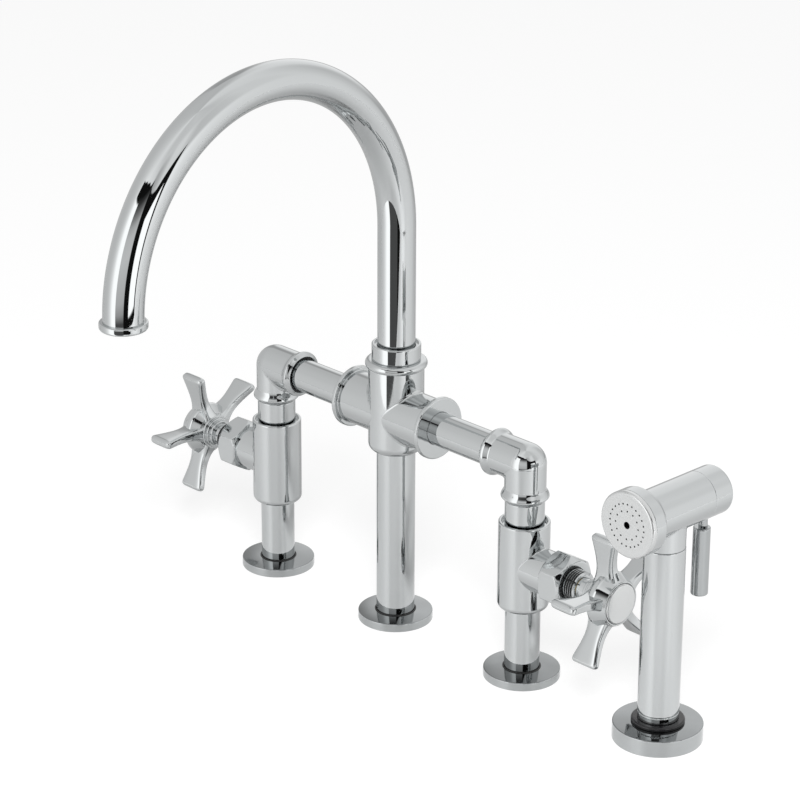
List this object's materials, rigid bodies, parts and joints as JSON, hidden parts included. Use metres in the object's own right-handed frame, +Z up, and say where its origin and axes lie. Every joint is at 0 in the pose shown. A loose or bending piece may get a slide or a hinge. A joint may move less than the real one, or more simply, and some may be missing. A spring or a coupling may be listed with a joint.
{
  "type": "bridge kitchen faucet",
  "caption": "Deck-mounted bridge kitchen faucet in chrome: three columns, a high arched spout, cross handles and a separate side sprayer with a hanging lever",
  "frame": {"origin": "on the centre column's axis, in the plane of the deck flanges' undersides", "axes": "+X along the bridge from the hot valve to the cold valve and the sprayer, -Y towards the user, +Z up"},
  "size_m": [0.402, 0.2589, 0.354],
  "materials": {
    "chrome": "polished chrome plate",
    "satin": "satin nickel",
    "rubber": "black rubber",
    "black_nylon": "black moulded nylon",
    "white_nylon": "white moulded nylon",
    "brass": "machined brass",
    "stainless": "stainless steel wire and sheet",
    "ceramic": "ground white ceramic"
  },
  "bodies": {
    "faucet": {"centre_flange": "chrome", "centre_column": "chrome", "foot_seals": "rubber", "cross_body": "chrome", "diverter_seat": "brass", "diverter_spring": "stainless", "bridge_seals": "rubber", "spout_bush": "white_nylon", "spout_nut": "chrome", "hot_bridge_tube": "chrome", "cold_bridge_tube": "chrome", "spray_deck_flange": "chrome", "spray_guide_bush": "black_nylon", "hot_deck_flange": "chrome", "hot_lower_column": "chrome", "hot_valve_body": "chrome", "hot_riser": "chrome", "hot_elbow": "chrome", "hot_bonnet_nut": "chrome", "hot_gland_collar": "chrome", "hot_cartridge_body": "brass", "hot_fixed_disc": "ceramic", "hot_cartridge_seal": "rubber", "cold_deck_flange": "chrome", "cold_lower_column": "chrome", "cold_valve_body": "chrome", "cold_riser": "chrome", "cold_elbow": "chrome", "cold_bonnet_nut": "chrome", "cold_gland_collar": "chrome", "cold_cartridge_body": "brass", "cold_fixed_disc": "ceramic", "cold_cartridge_seal": "rubber"},
    "diverter": {"diverter_piston": "brass"},
    "spout": {"spout_tube": "chrome", "spout_tip_ring": "chrome", "aerator_body": "white_nylon", "aerator_screen": "stainless", "spout_orings": "rubber", "spout_clip": "stainless"},
    "hot_handle": {"hot_cross_handle": "chrome", "hot_index_button": "satin", "hot_handle_screw": "stainless", "hot_valve_stem": "brass", "hot_turning_disc": "ceramic"},
    "cold_handle": {"cold_cross_handle": "chrome", "cold_index_button": "satin", "cold_handle_screw": "stainless", "cold_valve_stem": "brass", "cold_turning_disc": "ceramic"},
    "hose_end": {"hose_connector": "brass", "swivel_seal": "rubber"},
    "spray_wand": {"wand_tube": "chrome", "spray_head": "chrome", "spray_face": "chrome", "spray_rear_cap": "chrome", "spray_spring": "stainless"},
    "spray_grip": {"spray_lever": "chrome", "lever_pin": "chrome"},
    "spray_valve": {"spray_plunger": "brass"}
  },
  "joints": [
    {"name": "spout_swivel", "type": "hinge", "parent": "faucet", "child": "spout", "pos_m": [0, 0, 0.15], "axis": [0, 0, 1], "continuous": true},
    {"name": "diverter_slide", "type": "slide", "parent": "faucet", "child": "diverter", "axis": [0, 0, 1], "range_m": [0, 0.003], "stiffness_N_per_m": 60, "springref_m": -0.001, "deforming": ["diverter_spring"]},
    {"name": "hot_handle_turn", "type": "hinge", "parent": "faucet", "child": "hot_handle", "pos_m": [-0.1316, 0, 0.0685], "axis": [-1, 0, 0], "range_deg": [0, 90]},
    {"name": "cold_handle_turn", "type": "hinge", "parent": "faucet", "child": "cold_handle", "pos_m": [0.1316, 0, 0.0685], "axis": [1, 0, 0], "range_deg": [0, 90]},
    {"name": "spray_lift", "type": "slide", "parent": "faucet", "child": "hose_end", "axis": [0, 0, 1], "range_m": [0, 0.3]},
    {"name": "spray_swivel", "type": "hinge", "parent": "hose_end", "child": "spray_wand", "pos_m": [0.2029, 0, 0.05], "axis": [0, 0, 1], "range_deg": [-225, 45]},
    {"name": "spray_lever_press", "type": "hinge", "parent": "spray_wand", "child": "spray_grip", "pos_m": [0.2029, 0.0306, 0.12425], "axis": [-1, 0, 0], "range_deg": [0, 10], "stiffness_Nm_per_rad": 0.3, "springref_deg": -2.86},
    {"name": "spray_valve_slide", "type": "slide", "parent": "spray_wand", "child": "spray_valve", "axis": [0, 1, 0], "range_m": [0, 0.0012], "deforming": ["spray_spring"]}
  ],
  "couplings": [
    {"joint": "spray_valve_slide", "follows": "spray_lever_press", "m_per_rad": 0.0064}
  ]
}
